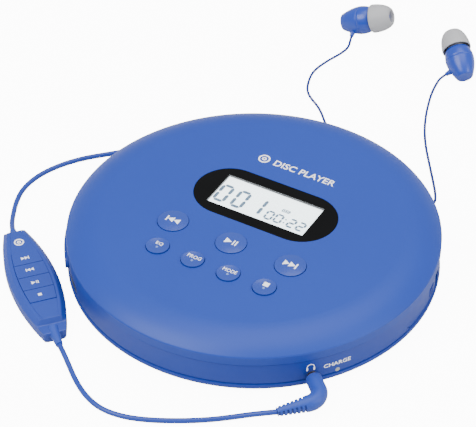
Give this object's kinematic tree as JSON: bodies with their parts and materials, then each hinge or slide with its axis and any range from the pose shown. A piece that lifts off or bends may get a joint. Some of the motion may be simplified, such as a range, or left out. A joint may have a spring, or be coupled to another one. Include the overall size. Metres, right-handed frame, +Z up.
{
  "type": "portable cd player",
  "caption": "Round portable disc player with a hinged lid, small display, press keys, a sliding lid release and plugged-in earphones with an in-line remote.",
  "frame": {"origin": "on the ground under the middle of the round case", "axes": "+Z up, front of the case -Y, lid hinge at the back +Y, +X the side with the lid slider"},
  "size_m": [0.1702, 0.2557, 0.0231],
  "materials": {
    "case_blue": "satin pearl",
    "lid_blue": "satin pearl",
    "key_blue": "satin pearl",
    "remote_blue": "satin pearl",
    "deck_grey": "fine texture",
    "dark_plastic": "matte",
    "board_green": "solder mask",
    "battery_wrap": "shrink film",
    "soft_rubber": "matte",
    "motor_steel": "plated",
    "plain_steel": "ground",
    "black_steel": "blackened",
    "lens_clear": "coated",
    "window_clear": "clear",
    "display_pale": "reflective backing",
    "lamp_white": "diffusing",
    "lead_blue": "soft satin",
    "gold_pin": "gold plated",
    "tip_grey": "soft silicone"
  },
  "bodies": {
    "base": {"bottom_case": "case_blue", "disc_deck": "deck_grey", "main_board": "board_green", "battery": "battery_wrap", "traverse_frame": "dark_plastic", "damper_bushes": "soft_rubber", "spindle_motor": "motor_steel", "guide_rods": "plain_steel", "sled_motor": "motor_steel", "headphone_socket": "dark_plastic", "usb_socket": "motor_steel", "charge_led": "lamp_white", "hinge_pins": "plain_steel", "latch_spring": "plain_steel", "lid_switch": "dark_plastic", "rubber_feet": "soft_rubber", "case_screws": "black_steel", "remote_lower_shell": "remote_blue", "remote_upper_shell": "remote_blue", "remote_board": "board_green", "remote_reliefs": "lead_blue", "plug_body": "lead_blue", "plug_pin": "gold_pin", "splitter": "lead_blue", "lead_hank": "lead_blue", "ear_lead_hanks": "lead_blue", "left_earbud": "remote_blue", "right_earbud": "remote_blue", "left_ear_tip": "tip_grey", "right_ear_tip": "tip_grey", "plug_lead": "lead_blue", "remote_lead": "lead_blue", "left_lead": "lead_blue", "right_lead": "lead_blue"},
    "lid": {"lid_shell": "lid_blue", "lid_liner": "deck_grey", "hinge_block": "case_blue", "lid_hook": "dark_plastic", "lid_screws": "black_steel", "display_window": "window_clear", "display_module": "display_pale", "key_board": "board_green"},
    "turntable": {"turntable": "dark_plastic", "chuck_balls": "plain_steel"},
    "pickup": {"optical_pickup": "dark_plastic", "objective_lens": "lens_clear"},
    "lead_screw": {"lead_screw": "plain_steel"},
    "open_slider": {"open_slider": "case_blue"},
    "volume_rocker": {"volume_rocker": "case_blue"},
    "previous_key": {"previous_key": "key_blue"},
    "play_key": {"play_key": "key_blue"},
    "next_key": {"next_key": "key_blue"},
    "equaliser_key": {"equaliser_key": "key_blue"},
    "program_key": {"program_key": "key_blue"},
    "mode_key": {"mode_key": "key_blue"},
    "stop_key": {"stop_key": "key_blue"},
    "remote_next_key": {"remote_next_key": "key_blue"},
    "remote_previous_key": {"remote_previous_key": "key_blue"},
    "remote_play_key": {"remote_play_key": "key_blue"},
    "remote_stop_key": {"remote_stop_key": "key_blue"}
  },
  "joints": [
    {"name": "lid_hinge", "type": "hinge", "parent": "base", "child": "lid", "pos_m": [0, 0.066, 0.009], "axis": [-1, 0, 0], "range_deg": [0, 75], "deforming": ["latch_spring"]},
    {"name": "turntable_spin", "type": "hinge", "parent": "base", "child": "turntable", "pos_m": [0, 0, 0.0134], "axis": [0, 0, 1], "continuous": true},
    {"name": "pickup_slide", "type": "slide", "parent": "base", "child": "pickup", "axis": [0, -1, 0], "range_m": [0, 0.033]},
    {"name": "lead_screw_spin", "type": "hinge", "parent": "base", "child": "lead_screw", "pos_m": [0.022, -0.03, 0.0074], "axis": [0, 1, 0], "range_deg": [-2, 2974]},
    {"name": "open_slide", "type": "hinge", "parent": "base", "child": "open_slider", "pos_m": [0, 0, 0.0079], "axis": [0, 0, 1], "range_deg": [0, 2.96], "stiffness_Nm_per_rad": 1.5, "deforming": ["latch_spring"]},
    {"name": "volume_tilt", "type": "hinge", "parent": "base", "child": "volume_rocker", "pos_m": [-0.05593, -0.03428, 0.0092], "axis": [0, 0, 1], "range_deg": [-3.5, 3.5], "stiffness_Nm_per_rad": 0.5},
    {"name": "previous_press", "type": "slide", "parent": "lid", "child": "previous_key", "axis": [0, 0, -1], "range_m": [0, 0.0005], "stiffness_N_per_m": 600},
    {"name": "play_press", "type": "slide", "parent": "lid", "child": "play_key", "axis": [0, 0, -1], "range_m": [0, 0.0005], "stiffness_N_per_m": 600},
    {"name": "next_press", "type": "slide", "parent": "lid", "child": "next_key", "axis": [0, 0, -1], "range_m": [0, 0.0005], "stiffness_N_per_m": 600},
    {"name": "equaliser_press", "type": "slide", "parent": "lid", "child": "equaliser_key", "axis": [0, 0, -1], "range_m": [0, 0.0005], "stiffness_N_per_m": 600},
    {"name": "program_press", "type": "slide", "parent": "lid", "child": "program_key", "axis": [0, 0, -1], "range_m": [0, 0.0005], "stiffness_N_per_m": 600},
    {"name": "mode_press", "type": "slide", "parent": "lid", "child": "mode_key", "axis": [0, 0, -1], "range_m": [0, 0.0005], "stiffness_N_per_m": 600},
    {"name": "stop_press", "type": "slide", "parent": "lid", "child": "stop_key", "axis": [0, 0, -1], "range_m": [0, 0.0005], "stiffness_N_per_m": 600},
    {"name": "remote_next_press", "type": "slide", "parent": "base", "child": "remote_next_key", "axis": [0, 0, -1], "range_m": [0, 0.0003], "stiffness_N_per_m": 600},
    {"name": "remote_previous_press", "type": "slide", "parent": "base", "child": "remote_previous_key", "axis": [0, 0, -1], "range_m": [0, 0.0003], "stiffness_N_per_m": 600},
    {"name": "remote_play_press", "type": "slide", "parent": "base", "child": "remote_play_key", "axis": [0, 0, -1], "range_m": [0, 0.0003], "stiffness_N_per_m": 600},
    {"name": "remote_stop_press", "type": "slide", "parent": "base", "child": "remote_stop_key", "axis": [0, 0, -1], "range_m": [0, 0.0003], "stiffness_N_per_m": 600}
  ],
  "couplings": [
    {"joint": "lead_screw_spin", "follows": "pickup_slide", "rad_per_m": 1570.8}
  ]
}
